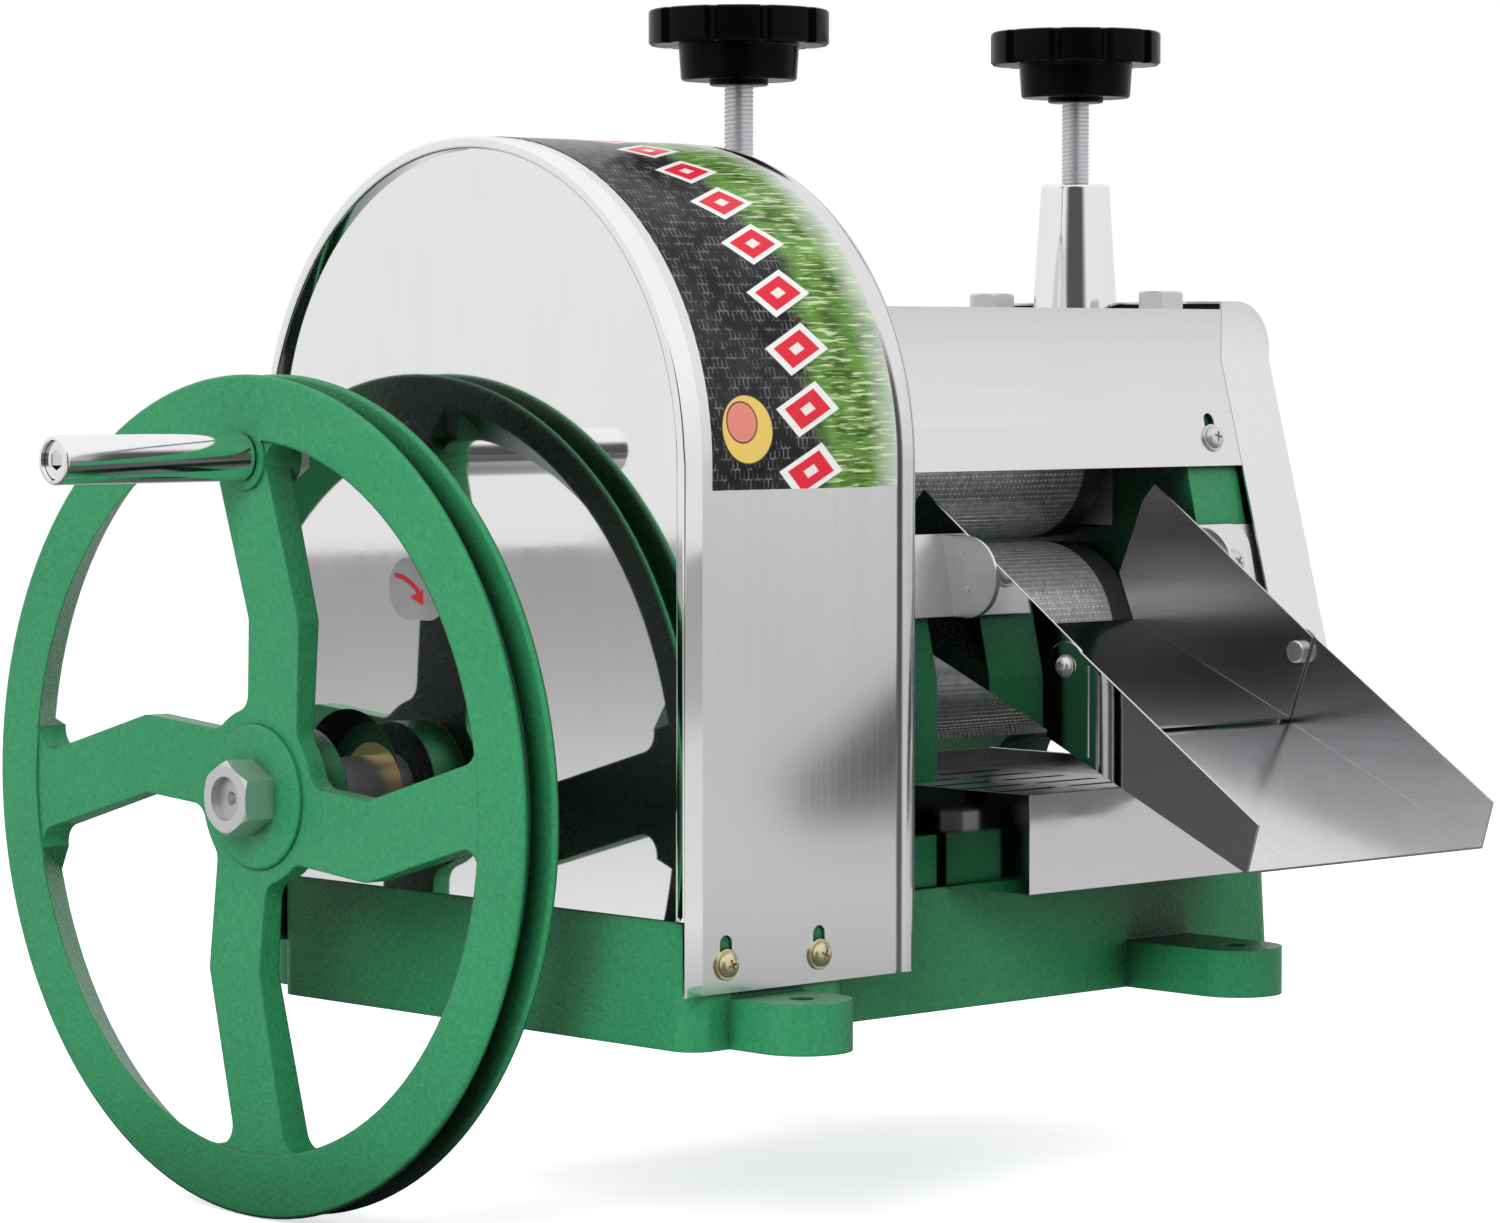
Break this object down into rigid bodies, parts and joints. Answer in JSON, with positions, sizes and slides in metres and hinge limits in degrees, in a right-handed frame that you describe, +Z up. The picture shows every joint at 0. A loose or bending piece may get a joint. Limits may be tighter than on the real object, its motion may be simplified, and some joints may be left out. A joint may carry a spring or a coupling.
{
  "type": "manual sugarcane juicer",
  "caption": "Hand-cranked sugarcane juicer: spoked handwheel, cased gear drive, fluted rollers in cast frames under a steel hood, star pressure knobs, folding feed chute, juice tray",
  "frame": {"origin": "centre of the four bench holes, on the underside of the base casting", "axes": "+X along the rollers, away from the handwheel; +Y from the feed chute to the back; +Z up"},
  "size_m": [0.6158, 0.5662, 0.5487],
  "materials": {
    "green_enamel": "hammered gloss enamel",
    "stainless_sheet": "bright satin",
    "polished_sheet": "mirror polished",
    "machined_steel": "machined",
    "bright_zinc": "bright zinc plated",
    "yellow_zinc": "yellow zinc plated",
    "gear_iron": "greased",
    "bearing_bronze": "machined bronze",
    "black_knob": "gloss",
    "label_film": "printed film",
    "sticker_film": "translucent film with a printed arrow"
  },
  "bodies": {
    "machine_frame": {"base_casting": "green_enamel", "left_side_frame": "green_enamel", "right_side_frame": "green_enamel", "left_frame_cap": "green_enamel", "right_frame_cap": "green_enamel", "left_screw_post": "polished_sheet", "right_screw_post": "polished_sheet", "cap_bolts": "bright_zinc", "frame_foot_bolts": "bright_zinc", "tie_rods": "machined_steel", "tie_rod_nuts": "bright_zinc", "shaft_pedestal": "green_enamel", "pedestal_bolts": "bright_zinc", "pedestal_bush": "bearing_bronze", "frame_shaft_bush": "bearing_bronze", "lower_roller_bushes": "bearing_bronze", "gear_case_wrap": "stainless_sheet", "gear_case_side_panel": "polished_sheet", "gear_case_back_panel": "stainless_sheet", "case_spacers": "machined_steel", "case_screws": "yellow_zinc", "case_label": "label_film", "turning_sticker": "sticker_film", "hood": "stainless_sheet", "hood_screws": "bright_zinc", "right_cover": "stainless_sheet", "cover_standoffs": "machined_steel", "cover_screws": "bright_zinc", "chute_inner": "stainless_sheet", "chute_rivets": "stainless_sheet", "chute_brackets": "stainless_sheet", "bracket_backing_plates": "stainless_sheet", "bracket_screws": "bright_zinc"},
    "handwheel_and_shaft": {"handwheel": "green_enamel", "drive_shaft": "machined_steel", "wheel_nut": "bright_zinc", "drive_shaft_keys": "machined_steel", "drive_pinion": "machined_steel", "shaft_collar": "machined_steel", "handle_bolt": "machined_steel", "handle_nut": "bright_zinc"},
    "handle_grip": {"handle_sleeve": "polished_sheet"},
    "top_roller_carriage": {"left_bearing_block": "machined_steel", "right_bearing_block": "machined_steel", "top_roller_bushes": "bearing_bronze"},
    "top_roller_assembly": {"top_roller": "machined_steel", "large_gear": "gear_iron", "top_roller_gear": "machined_steel", "top_roller_keys": "machined_steel"},
    "lower_roller_assembly": {"lower_roller": "machined_steel", "lower_roller_gear": "machined_steel", "lower_gear_key": "machined_steel"},
    "left_pressure_knob": {"left_pressure_screw": "machined_steel", "left_star_knob": "black_knob"},
    "right_pressure_knob": {"right_pressure_screw": "machined_steel", "right_star_knob": "black_knob"},
    "folding_chute": {"chute_outer": "stainless_sheet"},
    "juice_drawer": {"juice_tray": "polished_sheet"},
    "juice_strainer": {"tray_strainer": "stainless_sheet"}
  },
  "joints": [
    {"name": "wheel_spin", "type": "hinge", "parent": "machine_frame", "child": "handwheel_and_shaft", "pos_m": [-0.2429, 0.086, 0.099], "axis": [1, 0, 0], "continuous": true},
    {"name": "handle_spin", "type": "hinge", "parent": "handwheel_and_shaft", "child": "handle_grip", "pos_m": [-0.2469, 0.0872, 0.252], "axis": [1, 0, 0], "continuous": true},
    {"name": "top_roller_lift", "type": "slide", "parent": "machine_frame", "child": "top_roller_carriage", "axis": [0, 0, 1], "range_m": [0, 0.003]},
    {"name": "top_roller_spin", "type": "hinge", "parent": "top_roller_carriage", "child": "top_roller_assembly", "pos_m": [0.092, 0, 0.25026], "axis": [1, 0, 0], "continuous": true},
    {"name": "lower_roller_spin", "type": "hinge", "parent": "machine_frame", "child": "lower_roller_assembly", "pos_m": [0.092, -0.01487, 0.15947], "axis": [1, 0, 0], "continuous": true},
    {"name": "left_knob_turn", "type": "hinge", "parent": "top_roller_carriage", "child": "left_pressure_knob", "pos_m": [-0.023, 0, 0.42496], "axis": [0, 0, 1], "range_deg": [0, 540]},
    {"name": "right_knob_turn", "type": "hinge", "parent": "top_roller_carriage", "child": "right_pressure_knob", "pos_m": [0.207, 0, 0.42496], "axis": [0, 0, 1], "range_deg": [0, 540]},
    {"name": "chute_fold", "type": "hinge", "parent": "machine_frame", "child": "folding_chute", "pos_m": [0.092, -0.177, 0.159], "axis": [-1, 0, 0], "range_deg": [0, 100]},
    {"name": "tray_slide", "type": "slide", "parent": "machine_frame", "child": "juice_drawer", "axis": [0, -1, 0], "range_m": [0, 0.05]},
    {"name": "strainer_lift", "type": "slide", "parent": "juice_drawer", "child": "juice_strainer", "axis": [0, 0, 1], "range_m": [0, 0.008]}
  ],
  "couplings": [
    {"joint": "top_roller_spin", "follows": "wheel_spin", "ratio": -0.31818},
    {"joint": "lower_roller_spin", "follows": "wheel_spin", "ratio": 0.29167},
    {"joint": "left_knob_turn", "follows": "top_roller_lift", "rad_per_m": 3141.6},
    {"joint": "right_knob_turn", "follows": "top_roller_lift", "rad_per_m": 3141.6}
  ]
}
